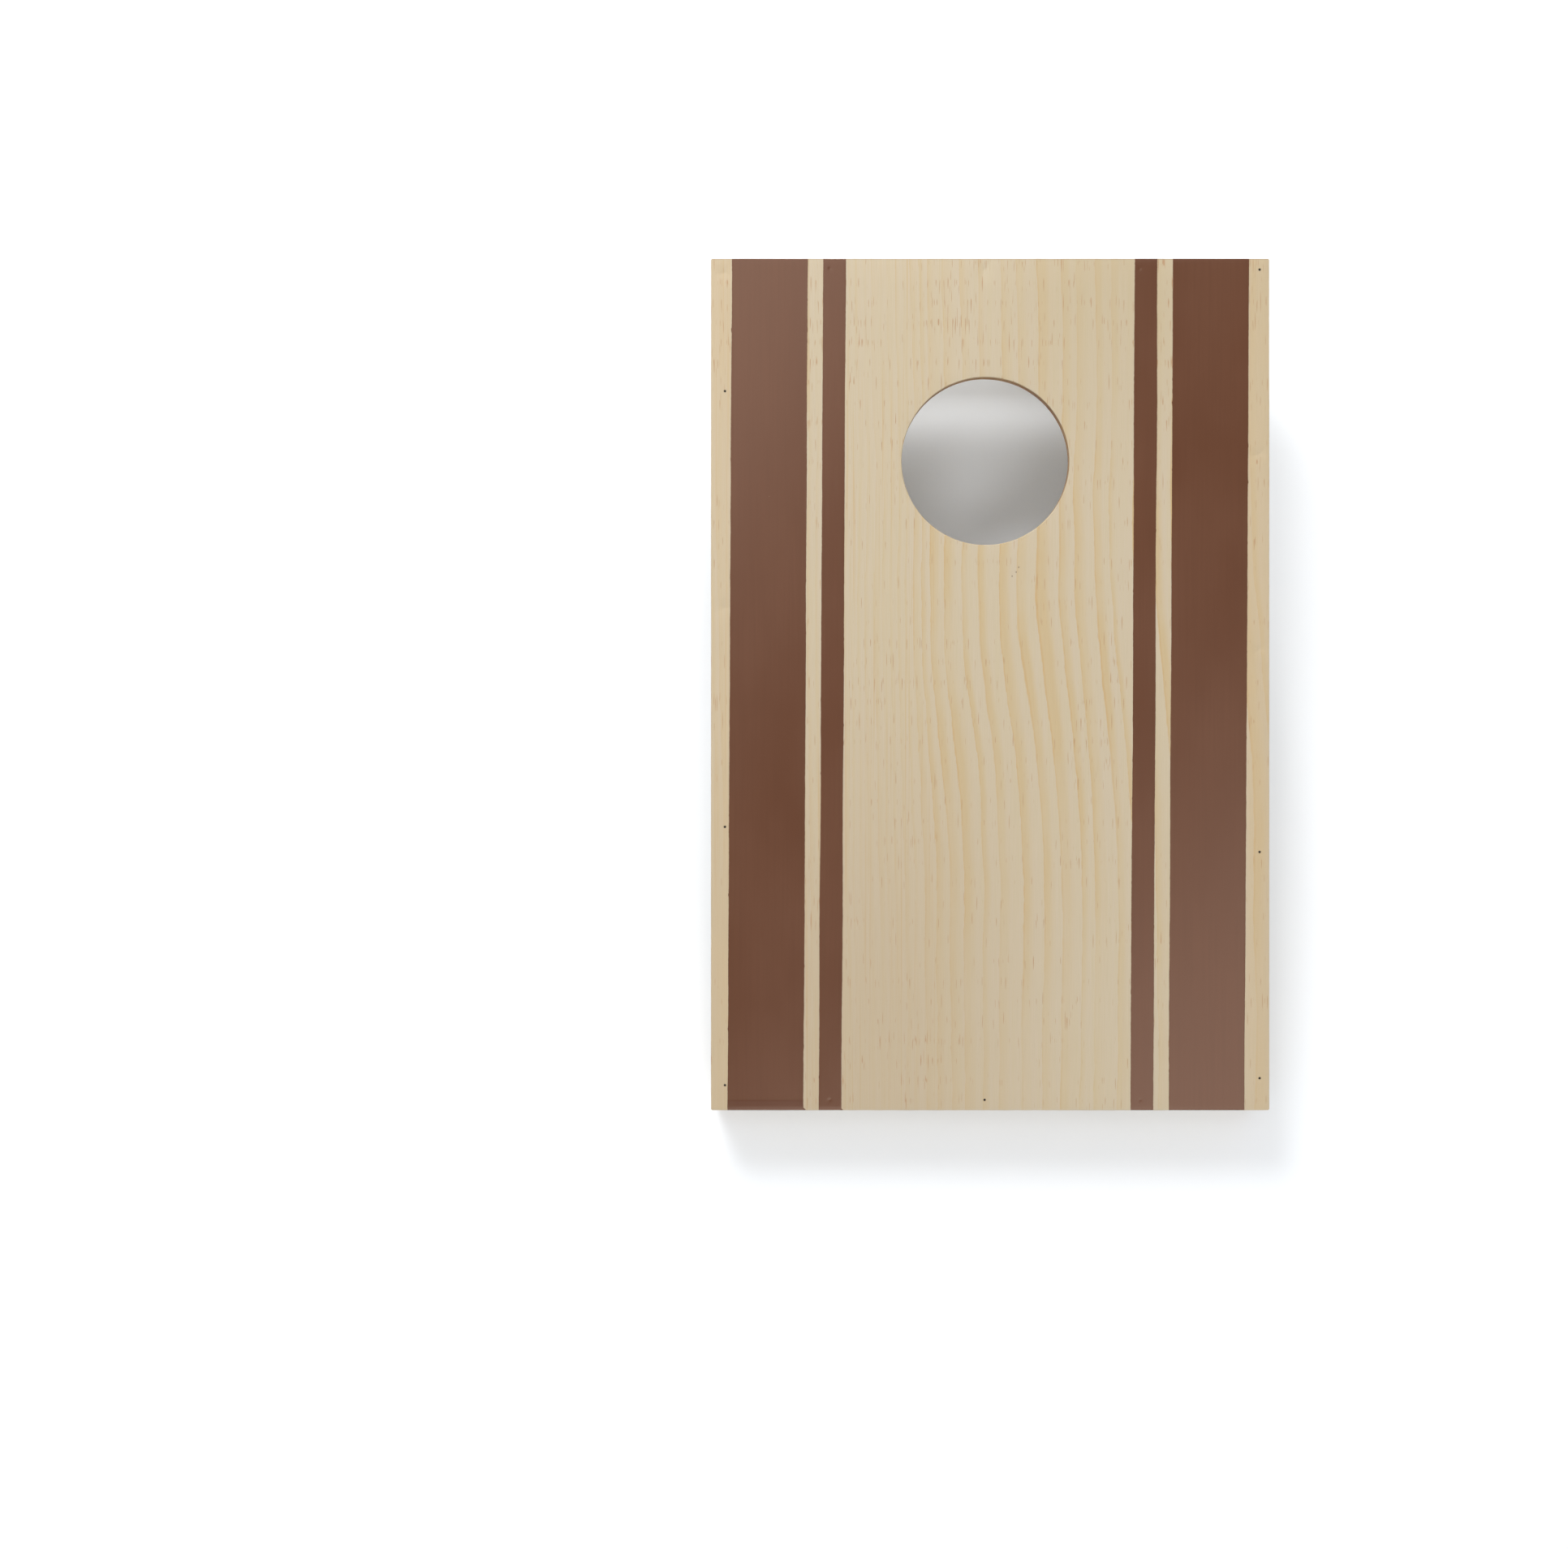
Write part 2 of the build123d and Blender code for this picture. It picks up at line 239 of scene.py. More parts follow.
def resin_dashes(shader, across, along, depth, sparse, more=0.0):
    """Short brown dashes that lie along the grain, closer together in some places."""
    dashes = shader.noise((across, 1.5), (along, 0.07), (depth, 1.5), detail=0.0)
    patches = shader.noise((across, 0.02), (along, 0.012), (depth, 0.02))
    amount = shader.add(dashes, shader.swing(patches, 0.3), more)
    return shader.step(amount, sparse, sparse + 0.05)


def fibres(shader, across, along, depth):
    """Fine streaks along the grain."""
    return shader.noise((across, 2.6), (along, 0.035), (depth, 2.6), detail=3.0, roughness=0.6)


def veneer_rings(shader, x, y):
    """The face veneer's growth rings, which run along the board. Returns how strongly a place
    shows a ring's broad late wood, and how strongly the dark line where the ring ends."""
    # Halfway along, the rings step to the right on their way to the front.
    drift = shader.times(shader.step(y, 400.0, 170.0, high=17.0), shader.step(x, -80.0, 0.0, low=0.25))
    slow = shader.noise((x, 0.005), (y, 0.005), 3.1)
    ripple = shader.noise((x, 0.03), (y, 0.02), 8.4)
    ragged = shader.noise((x, 1.4), (y, 0.11), 2.2, detail=3.0, roughness=0.6)
    moved = shader.add(
        x, shader.times(drift, -1.0), shader.swing(slow, 13.0),
        shader.swing(ripple, 3.0), shader.swing(ragged, 1.7))

    # The rings are close together on the left and wider on the right, with a soft bend between.
    from_bend = shader.add(moved, 44.0)
    bend = shader.math("SQRT", shader.add(shader.times(from_bend, from_bend), 150.0))
    uneven = shader.noise((moved, 0.055), (y, 0.0012), 1.7)
    phase = shader.add(
        shader.times(from_bend, 0.1305), shader.times(bend, -0.0595), shader.times(uneven, 1.3), 40.0)
    part = shader.math("FRACT", phase)
    ring = shader.math("FLOOR", phase)

    # Each ring has its own width and strength, and the strength changes along it.
    chance_node = shader.node("ShaderNodeTexWhiteNoise", noise_dimensions="1D")
    shader.feed(chance_node.inputs["W"], ring)
    chance = chance_node.outputs[0]
    along_ring = shader.noise((ring, 7.3), (y, 0.013), 0.4, detail=3.0)
    bold = shader.times(
        shader.step(x, -80.0, -15.0, low=0.35), shader.step(y, 400.0, 500.0, low=1.0, high=0.55),
        shader.step(y, 60.0, 230.0, low=0.45))
    power = shader.times(
        bold, shader.step(chance, 0.0, 1.0, low=1.1, high=0.8, smooth=False),
        shader.step(along_ring, 0.25, 0.7, low=0.55, high=1.3), shader.step(part, 0.0, 0.05))
    spread = shader.times(part, shader.step(chance, 0.0, 1.0, low=0.75, high=1.9, smooth=False))
    body = shader.times(shader.step(spread, 0.15, 0.8, low=1.0, high=0.0), power)
    line = shader.times(shader.step(spread, 0.03, 0.14, low=1.0, high=0.0), power)
    return body, line


def deck_material():
    """Pine-faced plywood: a plain-sawn face veneer, with the plies showing on every edge."""
    shader = Shader("plywood")
    x, y, z = shader.parts(shader.flat_millimetres(tilted=False))
    body, line = veneer_rings(shader, x, y)
    streaks = shader.noise((x, 0.33), (y, 0.006), 6.3, detail=4.0, roughness=0.62)
    warm = shader.noise((x, 0.016), (y, 0.004), 5.5, detail=3.0)
    fine = fibres(shader, x, y, z)
    dashes = resin_dashes(shader, x, y, z, 0.755, shader.step(y, 400.0, 560.0, high=0.03))

    # The face veneer, with hair lines between the rings on its left part.
    face = shader.mix(shader.step(streaks, 0.35, 0.7, high=0.45), EARLYWOOD, WARM_WOOD)
    face = shader.mix(shader.math("MINIMUM", body, 1.0), face, LATEWOOD)
    face = shader.mix(shader.times(shader.math("MINIMUM", line, 1.0), 0.75), face, LATE_LINE)
    hairs = shader.noise((x, 0.95), (y, 0.005), 9.7)
    left_part = shader.step(x, -20.0, -62.0)
    face = shader.mix(shader.times(shader.step(hairs, 0.56, 0.72, high=0.5), left_part), face, LATE_LINE)
    face = shader.mix(shader.step(warm, 0.35, 0.75, high=0.3), face, WARM_WOOD)

    # Slow changes of tone: a stain at the rear and the side margins. Painted shade makes the front left and
    # rear right corners darker and browner, away from the light at the rear left.
    stain = shader.times(
        shader.step(warm, 0.3, 0.6), shader.step(y, 530.0, 600.0), shader.step(x, 20.0, 60.0),
        shader.step(x, 100.0, 130.0, low=1.0, high=0.0))
    face = shader.mix(shader.times(stain, 0.45), face, STAIN)
    # Painted shade, darker toward the front left.
    front_left_shade = shader.times(
        shader.step(y, 60.0, 380.0, low=1.0, high=0.0), shader.step(x, -90.0, 90.0, low=1.0, high=0.0))
    face = shader.mix(shader.times(front_left_shade, 0.42), face, FRONT_LEFT_SHADE)
    # Painted shade, darker toward the rear right.
    rear_right_shade = shader.times(shader.step(y, 400.0, 590.0), shader.step(x, -30.0, 90.0))
    face = shader.mix(shader.times(rear_right_shade, 0.4), face, REAR_RIGHT_SHADE)
    from_middle = shader.math("ABSOLUTE", shader.add(x, -STRIPES_OFF_CENTRE))
    margin = shader.times(
        shader.step(from_middle, 180.0, 188.0), shader.step(warm, 0.3, 0.7, low=0.2, high=0.6))
    face = shader.mix(margin, face, MARGIN_TONE)

    # Fibres, resin, a painted shade along the rounded rear edge, and a few pin marks.
    face = shader.mix(shader.step(fine, 0.3, 0.8, high=0.22), face, FACE_FIBRE)
    face = shader.mix(shader.times(dashes, 0.7), face, RESIN)
    # Painted shade: a dark line on the rear edge's rounding, where the face turns away from the light.
    rear_edge_shade = shader.step(y, DECK_LENGTH - 1.3, DECK_LENGTH - 0.3)
    face = shader.mix(shader.times(rear_edge_shade, 0.55), face, REAR_EDGE_SHADE)
    for pin_x, pin_y in PIN_MARKS:
        away = shader.distance(shader.add(x, -pin_x), shader.add(y, -pin_y))
        face = shader.mix(shader.step(away, 0.3, 0.6, low=0.8, high=0.0), face, PIN_HOLE)

    # The back veneer is a cheaper, duller sheet of the same wood.
    beneath = shader.step(z, -DECK_THICKNESS + 0.4, -DECK_THICKNESS + 0.1)
    back = shader.mix(shader.step(streaks, 0.3, 0.7), BACK_PALE, BACK_DARK)
    back = shader.mix(shader.step(warm, 0.45, 0.7, high=0.4), back, BACK_BROWN)
    face = shader.mix(beneath, face, back)

    # The plies: thin faces and three thick cores, each turned a quarter to the next. Where a
    # ply's grain ends on an edge, the wood is darker.
    depth = shader.times(z, -1.0)
    across = shader.add(*[
        shader.times(shader.step(depth, upper - PLY_BLUR, upper + PLY_BLUR),
                     shader.step(depth, lower - PLY_BLUR, lower + PLY_BLUR, low=1.0, high=0.0))
        for upper, lower in (GLUE_LINES[:2], GLUE_LINES[2:])
    ])
    normal = shader.node("ShaderNodeTexCoord").outputs["Normal"]
    facing_x, facing_y, facing_z = [shader.math("ABSOLUTE", v) for v in shader.parts(normal)]
    end_on = shader.math("MAXIMUM", shader.times(across, facing_x),
                         shader.times(shader.math("SUBTRACT", 1.0, across), facing_y))
    pores = shader.noise((x, 2.2), (y, 2.2), (z, 2.2))
    core_rings = shader.noise((x, 0.05), (y, 0.05), (z, 1.4), detail=4.0)
    edge = shader.mix(shader.step(core_rings, 0.3, 0.7), CORE_PALE, CORE_DARK)
    ends = shader.mix(shader.step(pores, 0.35, 0.65), CORE_END_PALE, CORE_END_DARK)
    edge = shader.mix(shader.step(end_on, 0.3, 0.8), edge, ends)
    glue = shader.add(*[
        shader.times(shader.step(depth, line_at - GLUE_HALF, line_at),
                     shader.step(depth, line_at, line_at + GLUE_HALF, low=1.0, high=0.0))
        for line_at in GLUE_LINES
    ])
    edge = shader.mix(shader.math("MINIMUM", glue, 0.75), edge, GLUE)
    on_edge = shader.step(facing_z, 0.35, 0.75, low=1.0, high=0.0)
    below_face_ply = shader.step(depth, 0.35, 1.0)
    colour = shader.mix(shader.times(on_edge, below_face_ply), face, edge)

    ring = shader.math("MAXIMUM", body, line)
    height = shader.add(
        shader.times(fine, 0.5), shader.times(ring, 0.35), shader.times(dashes, -0.5),
        shader.times(pores, on_edge, 0.8))
    rough = shader.step(fine, 0.2, 0.8, low=0.5, high=0.62, smooth=False)
    return shader.finish(colour, rough, height, depth=0.05)


def pine_material(name, along, pith, seed, spacing):
    """Solid pine with its grain along one axis. Rings circle a pith that lies outside the
    board, at a place on the other two axes, so the ends show as end grain."""
    shader = Shader(name)
    axes = list(shader.parts(shader.flat_millimetres(tilted=True)))
    length = axes.pop(along)
    first, second = axes
    wander = shader.noise((length, 0.0045), (first, 0.004), seed, detail=1.0)
    sway = shader.noise((length, 0.006), (second, 0.004), seed + 9.0, detail=1.0)
    radius = shader.distance(
        shader.add(first, -pith[0], shader.swing(wander, 26.0)),
        shader.add(second, -pith[1], shader.swing(sway, 16.0)))
    uneven = shader.noise((radius, 0.09), (length, 0.0008), seed + 4.0)
    phase = shader.add(shader.times(radius, 1.0 / spacing), shader.times(uneven, 2.0), 60.0)
    part = shader.math("FRACT", phase)
    ring = shader.times(
        shader.math("POWER", part, 2.6), shader.step(part, 0.94, 1.0, low=1.0, high=0.0))
    grain = shader.noise((first, 0.02), (second, 0.02), shader.add(shader.times(length, 0.004), seed))
    colour = shader.mix(shader.times(ring, shader.step(grain, 0.2, 0.8, low=0.6)), EARLYWOOD, LATEWOOD)
    colour = shader.mix(shader.step(grain, 0.4, 0.8, high=0.45), colour, PINE_WARM)
    fine = fibres(shader, first, length, second)
    colour = shader.mix(shader.step(fine, 0.3, 0.8, high=0.2), colour, PINE_FIBRE)
    dashes = resin_dashes(shader, first, length, second, 0.77)
    colour = shader.mix(shader.times(dashes, 0.6), colour, RESIN)

    normal = shader.node("ShaderNodeTexCoord").outputs["Normal"]
    turned = shader.node("ShaderNodeMapping", vector_type="VECTOR")
    shader.feed(turned.inputs["Vector"], normal)
    turned.inputs["Rotation"].default_value = DECK.inverted().to_euler()
    facing = shader.parts(turned.outputs[0])
    end_on = shader.step(shader.math("ABSOLUTE", facing[along]), 0.55, 0.9)
    pores = shader.noise((first, 2.4), (second, 2.4), (length, 0.6))
    ends = shader.mix(shader.times(ring, 0.9), END_GRAIN, END_RING)
    ends = shader.mix(shader.step(pores, 0.4, 0.7, high=0.4), ends, END_PORE)
    colour = shader.mix(shader.times(end_on, 0.85), colour, ends)
    height = shader.add(
        shader.times(fine, 0.6), shader.times(ring, 0.5), shader.times(dashes, -0.5),
        shader.times(pores, end_on, 0.7))
    rough = shader.step(fine, 0.2, 0.8, low=0.52, high=0.66, smooth=False)
    return shader.finish(colour, rough, height, depth=0.07)


def paint_material(name, seed, lap):
    """Thin satin brown paint: faint roller lines, the grain showing through and a few specks.
    A second coat covers it from the front edge as far as the lap, where there is one."""
    shader = Shader(name)
    x, y, z = shader.parts(shader.flat_millimetres(tilted=False))
    cloud = shader.noise((x, 0.018), (y, 0.008), seed, detail=3.0)
    roller = shader.noise((x, 0.55), (y, 0.012), seed + 4.0, detail=3.0)
    colour = shader.mix(shader.step(cloud, 0.3, 0.7), PAINT, PAINT_CLOUD)
    colour = shader.mix(shader.step(roller, 0.35, 0.8, high=0.35), colour, PAINT_ROLLED)
    if lap:
        twice = shader.times(shader.step(y, lap + 0.5, lap - 0.1), 0.55)
        colour = shader.mix(twice, colour, SECOND_COAT)
    cells = shader.node("ShaderNodeTexVoronoi", feature="F1", distance="EUCLIDEAN")
    shader.feed(cells.inputs["Vector"], shader.stretched((x, 0.021), (y, 0.021), seed + 2.0))
    cells.inputs["Scale"].default_value = 1.0
    speck = shader.step(cells.outputs["Distance"], 0.004, 0.011, low=1.0, high=0.0)
    colour = shader.mix(shader.times(speck, 0.8), colour, PAINT_SPECK)
    peel = shader.noise((x, 0.9), (y, 0.9), seed)
    grain = shader.noise((x, 0.9), (y, 0.02), seed + 7.0)
    height = shader.add(shader.times(peel, 0.5), grain, shader.times(speck, 2.0))
    rough = shader.step(cloud, 0.3, 0.7, low=0.22, high=0.26, smooth=False)
    shader.surface.inputs["IOR"].default_value = 1.52
    shader.surface.inputs["Specular Tint"].default_value = PAINT_SHEEN
    return shader.finish(colour, rough, height, depth=0.012)


def steel_material(name, colour, dark, roughness, scale):
    """Plated steel with a cloudy finish and fine scratches."""
    shader = Shader(name)
    x, y, z = shader.parts(shader.flat_millimetres(tilted=True))
    cloud = shader.noise((x, scale), (y, scale), (z, scale), detail=4.0)
    fine = shader.noise((x, 9.0), (y, 3.0), (z, 9.0), detail=3.0)
    shade = shader.mix(shader.step(cloud, 0.35, 0.7), colour, dark)
    rough = shader.add(roughness - 0.08, shader.times(cloud, 0.16))
    return shader.finish(shade, rough, shader.add(fine, cloud), depth=0.01, metallic=1.0)


# ---------------------------------------------------------------- meshes


CRISP_ANGLE = 35


def make_piece(name, points, faces, material, body, nodes, matrix=DECK):
    """A mesh piece from millimetre points, riding on a body and standing for CAD nodes."""
    mesh = bpy.data.meshes.new(name)
    mesh.from_pydata([Vector(p) * MM for p in points], [], faces)
    mesh.validate()
    piece = bpy.data.objects.new(name, mesh)
    bpy.context.scene.collection.objects.link(piece)
    settle(piece, material, body, nodes, matrix)


def settle(piece, material, body, nodes, matrix):
    """Finishes a new piece: outward normals, material, place, body, slot and CAD nodes."""
    mesh = piece.data
    edited = bmesh.new()
    edited.from_mesh(mesh)
    bmesh.ops.recalc_face_normals(edited, faces=edited.faces)
    edited.to_mesh(mesh)
    edited.free()
    mesh.materials.clear()
    mesh.materials.append(material)
    for polygon in mesh.polygons:
        polygon.use_smooth = True
    piece.matrix_world = matrix
    bpy.context.view_layer.update()
    sharpen(piece, CRISP_ANGLE)
    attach(piece, body)
    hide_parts(*nodes)


def dress(material, *nodes):
    """Gives CAD pieces a material."""
    for node in nodes:
        materials = frame["nodes"][node].data.materials
        materials.clear()
        materials.append(material)


def sharpen(piece, degrees):
    """Edges that turn by more than this angle stay crisp under smooth shading."""
    mesh = piece.data
    edges = bmesh.new()
    edges.from_mesh(mesh)
    for edge in edges.edges:
        if len(edge.link_faces) == 2:
            edge.smooth = edge.calc_face_angle(0.0) < math.radians(degrees)
    edges.to_mesh(mesh)
    edges.free()


def rounded_rectangle(step):
    """The deck's outline as (x, y, outward x, outward y), with slightly rounded corners.
    Step is about how far apart its points are."""
    corner = 1.2
    x0, x1 = -HALF_WIDTH + corner, HALF_WIDTH - corner
    y0, y1 = corner, DECK_LENGTH - corner
    outline = []
    sides = [((x0, 0), (x1, 0), -90), ((HALF_WIDTH, y0), (HALF_WIDTH, y1), 0),
             ((x1, DECK_LENGTH), (x0, DECK_LENGTH), 90), ((-HALF_WIDTH, y1), (-HALF_WIDTH, y0), 180)]
    centres = [(x1, y0), (x1, y1), (x0, y1), (x0, y0)]
    for (start, end, angle), centre in zip(sides, centres):
        count = round(math.dist(start, end) / step)
        nx, ny = math.cos(math.radians(angle)), math.sin(math.radians(angle))
        for i in range(count + 1):
            t = i / count
            outline.append((start[0] + (end[0] - start[0]) * t, start[1] + (end[1] - start[1]) * t, nx, ny))
        for i in range(1, 5):
            turn = math.radians(angle + 90 * i / 5)
            nx, ny = math.cos(turn), math.sin(turn)
            outline.append((centre[0] + corner * nx, centre[1] + corner * ny, nx, ny))
    return outline


def circle(centre, radius, count, inward=False):
    """A round outline. Inward is for a hole, whose outward side is the middle."""
    side = -1 if inward else 1
    outline = []
    for i in range(count):
        turn = 2 * math.pi * i / count
        nx, ny = math.cos(turn), math.sin(turn)
        outline.append((centre[0] + radius * nx, centre[1] + radius * ny, side * nx, side * ny))
    return outline


def edge_strip(points, faces, outline, profile, rough=0.0):
    """Adds a wall round an outline. The profile is (inset, height) from top to bottom, and
    rough is how far its middle wavers. Returns the indices of its first and last row."""
    rows = []
    for inset, height in profile:
        row = []
        for x, y, nx, ny in outline:
            drift = rough * noise.noise(Vector((x * 0.13, y * 0.13, height * 1.9)))
            drift += 0.5 * rough * noise.noise(Vector((x * 0.9, y * 0.9, height * 2.3)))
            inward = max(inset + (drift if 0 > height > -DECK_THICKNESS else 0.0), 0.0)
            row.append(len(points))
            points.append((x - nx * inward, y - ny * inward, height))
        rows.append(row)
    count = len(outline)
    for upper, lower in zip(rows, rows[1:]):
        for i in range(count):
            j = (i + 1) % count
            faces.append((upper[i], upper[j], lower[j], lower[i]))
    return rows[0], rows[-1]


GRID_SPACING = 12.0


def fill_level(points, faces, outer, holes, height):
    """Triangulates the level area inside one loop and outside the others, with a loose grid."""
    loops = [outer, *holes]
    flat, edges, back = [], [], []
    for loop in loops:
        first = len(flat)
        flat += [Vector(points[i][:2]) for i in loop]
        back += loop
        edges += [(first + i, first + (i + 1) % len(loop)) for i in range(len(loop))]
    keep_off = [[Vector(points[i][:2]) for i in loop] for loop in holes]
    middles = [sum(loop, Vector((0, 0))) / len(loop) for loop in keep_off]
    sizes = [max((p - m).length for p in loop) for loop, m in zip(keep_off, middles)]
    for i in range(1, int(DECK_WIDTH / GRID_SPACING)):
        for j in range(1, int(DECK_LENGTH / GRID_SPACING)):
            spot = Vector((i * GRID_SPACING - HALF_WIDTH, j * GRID_SPACING))
            if all((spot - m).length > s + 3.0 for m, s in zip(middles, sizes)):
                flat.append(spot)
                back.append(None)
    made, _, triangles, origins, _, _ = geometry.delaunay_2d_cdt(flat, edges, [], 0, 1e-5)
    index = []
    for spot, source in zip(made, origins):
        known = next((back[s] for s in source if back[s] is not None), None)
        if known is None:
            known = len(points)
            points.append((spot.x, spot.y, height))
        index.append(known)
    inside = [set(loop) for loop in holes]
    for triangle in triangles:
        corners = {index[i] for i in triangle}
        if not any(corners <= loop for loop in inside):
            faces.append(tuple(index[i] for i in triangle))


# The brads that hold the deck. Some are in small open holes, and the rest are under filler.
LEFT_BRADS_AT, RIGHT_BRADS_AT = -190.0, 193.0
END_BRADS = [(x, y) for y in (7.5, 602.5) for x in (-115, -4, 107)]
OPEN_BRADS = [(LEFT_BRADS_AT, y) for y in (18, 203, 515)]
OPEN_BRADS += [(RIGHT_BRADS_AT, y) for y in (23, 185, 602)]
OPEN_BRADS += [(-4, 7.5)]
FILLED_BRADS = [(LEFT_BRADS_AT, y) for y in (360, 600)]
FILLED_BRADS += [(RIGHT_BRADS_AT, y) for y in (330, 470)]
FILLED_BRADS += [spot for spot in END_BRADS if spot not in OPEN_BRADS]
BRAD_HOLE_RADIUS = 1.0
FACE_INSET = 0.05  # leaves room for paint on the deck's front and rear edges
EDGE_ROUGHNESS = 0.09


def deck():
    """The panel: eased edges, a groove at each glue line, the hole, and the brads' holes."""
    points, faces = [], []
    arc = [(DECK_EASE * (1 - math.sin(t)), -DECK_EASE * (1 - math.cos(t)))
           for t in [math.pi / 2 * i / 6 for i in range(7)]]
    plies = []
    for groove in GLUE_LINES:
        plies += [(0.0, -groove + 0.16), (0.07, -groove), (0.0, -groove - 0.16)]
    between = [(0.0, -d) for d in (1.7, 2.2, 2.7, 4.0, 4.6, 5.1, 6.3, 6.9, 7.3, 8.3)]
    wall = sorted(plies + between, key=lambda p: -p[1])
    profile = arc + wall + [(0.0, -8.65), (0.12, -8.9), (0.35, -DECK_THICKNESS)]
    profile = [(inset + FACE_INSET, height) for inset, height in profile]
    outer_top, outer_low = edge_strip(points, faces, rounded_rectangle(3.0), profile, EDGE_ROUGHNESS)
    hole = circle(HOLE_CENTRE, HOLE_RADIUS, 240, inward=True)
    hole_top, hole_low = edge_strip(points, faces, hole, profile, EDGE_ROUGHNESS)
    open_hole = [(0.0, 0.0), (0.08, -0.08), (0.13, -0.3), (0.15, -1.5)]
    filler = [(0.0, 0.0), (0.07, -0.03), (0.2, -0.05)]
    tops = []
    for spot in OPEN_BRADS:
        top, _ = edge_strip(points, faces, circle(spot, BRAD_HOLE_RADIUS, 20), open_hole)
        tops.append(top)
    for spot in FILLED_BRADS:
        top, level = edge_strip(points, faces, circle(spot, BRAD_HOLE_RADIUS, 20), filler)
        tops.append(top)
        faces.append(tuple(level))
    fill_level(points, faces, outer_top, [hole_top, *tops], 0.0)
    fill_level(points, faces, outer_low, [hole_low], -DECK_THICKNESS)
    return points, faces


def on_deck(x, q, height):
    """A point on the deck's face. Past either end, q carries on round the edge and down."""
    back = q > DECK_LENGTH / 2
    from_end = DECK_LENGTH - q if back else q
    y, z = from_end, height
    if from_end < DECK_EASE:
        past = DECK_EASE - from_end
        turn = min(past / DECK_EASE, math.pi / 2)
        y = DECK_EASE - (DECK_EASE + height - FACE_INSET) * math.sin(turn)
        z = -DECK_EASE + (DECK_EASE + height) * math.cos(turn)
        z -= max(past - DECK_EASE * math.pi / 2, 0.0)
    return (x, DECK_LENGTH - y if back else y, z)


STRIPE_LEAN = math.tan(math.radians(0.3))
WRAP = 1.15  # how far paint runs on past where the edge's rounding starts
FILM = 0.1
THIN_END = 0.35  # what is left of the film's thickness where it wraps over an edge
RIDGE = 1.12  # the film's thickness beside its edges, where tape held the paint back


def stripe(from_centre, width, seed, column, bleeds, lap):
    """One painted stripe as a closed thin film, with slightly wavy, ridged edges. Column is the
    width of its faces. Each bleed is (place, reach, spread, side), where paint crept under the
    tape. A second coat ends at the lap, where there is one."""
    rows = []
    q = DECK_EASE - WRAP - 1.0
    while q < DECK_LENGTH - DECK_EASE + WRAP + 1.0:
        rows.append(q)
        near = min(q, DECK_LENGTH - q)
        q += 0.3 if near < 3.0 else 0.6 if near < 16.0 else 1.5
    covered = [b for b in END_BRADS if abs(b[0] - from_centre) < width / 2 + 2]

    # An edge wavers at three scales. Here and there paint seeps past it, beside the bleeds.
    def edge(q, side):
        at = from_centre + STRIPES_OFF_CENTRE + side * width / 2 + (q - DECK_LENGTH / 2) * STRIPE_LEAN
        at += 0.34 * noise.noise(Vector((q * 0.011, seed, side)))
        at += 0.16 * noise.noise(Vector((q * 0.09, seed, side * 2)))
        at += 0.09 * noise.noise(Vector((q * 0.7, seed, side * 3)))
        seep = max(noise.noise(Vector((q * 0.23, seed + 5, side * 4))) - 0.42, 0.0)
        at += side * 1.1 * seep
        for place, reach, spread, which in bleeds:
            if which == side:
                at += side * reach * math.exp(-(((q - place) / spread) ** 2))
        return at

    columns = max(int(width / column), 6)
    points, faces = [], []
    for q in rows:
        low, high = edge(q, -1), edge(q, 1)
        span = high - low
        rim = [(0.0, -0.02), (0.03, FILM * 0.7), (0.16, FILM * RIDGE), (0.5, FILM)]
        line = [(low + inset, height) for inset, height in rim]
        line += [(low + span * i / columns, FILM) for i in range(1, columns)]
        line += [(high - inset, height) for inset, height in reversed(rim)]
        for x, height in line:
            if height > 0:
                inland = min(max((min(q, DECK_LENGTH - q) - DECK_EASE) / 2.0, 0.0), 1.0)
                height *= THIN_END + (1 - THIN_END) * inland
                height += 0.01 * noise.noise(Vector((x * 0.5, q * 0.05, seed)))
                if lap and q < lap:
                    height += 0.03 * min(1.0, (lap - q) / 0.8)
                for bx, by in covered:
                    height -= 0.11 * math.exp(-((x - bx) ** 2 + (q - by) ** 2) / 1.2)
            points.append(on_deck(x, q, height))
    across = columns + 7
    count = len(rows)
    for r in range(count - 1):
        for c in range(across - 1):
            a = r * across + c
            faces.append((a, a + 1, a + across + 1, a + across))
    for r in (0, count - 1):
        faces.append(tuple(r * across + c for c in range(across)))
    faces += [(r * across, (r + 1) * across, (r + 2) * across - 1, (r + 1) * across - 1)
              for r in range(count - 1)]
    return points, faces


def lathe(stations, count, shape=None, bored=False):
    """A solid round Z through (radius, height) stations. Shape may bend each radius. A bored
    solid joins its last ring to its first, which leaves a hole down the middle."""
    points, faces = [], []
    for radius, height in stations:
        for i in range(count):
            turn = 2 * math.pi * i / count
            r = shape(radius, height, turn) if shape else radius
            points.append((r * math.cos(turn), r * math.sin(turn), height))
    rings = len(stations)
    for s in range(rings if bored else rings - 1):
        t = (s + 1) % rings
        for i in range(count):
            j = (i + 1) % count
            faces.append((s * count + i, s * count + j, t * count + j, t * count + i))
    if not bored:
        faces.append(tuple(range(count)))
        faces.append(tuple(range((rings - 1) * count, rings * count)))
    return points, faces


BOLT_RADIUS = 3.0
BOLT_LENGTH = 40.1
HEAD_RADIUS, HEAD_HEIGHT = 8.0, 3.6
NECK_RADIUS, NECK_LENGTH = 3.3, 3.4  # the square neck, from its middle to a flat side
THREAD_LENGTH = 18.0
THREAD_RUN_IN = 1.0
THREAD_PITCH = 1.0
THREAD_DEPTH = 0.55
THREAD_STEP = 0.1  # the height of the faces that the thread is cut into
BOLT_SEAT = 195.8  # from the board's middle to the underside of a bolt's head
WASHER_INNER = 166.9  # and to the face of the washer that a wing nut rests on


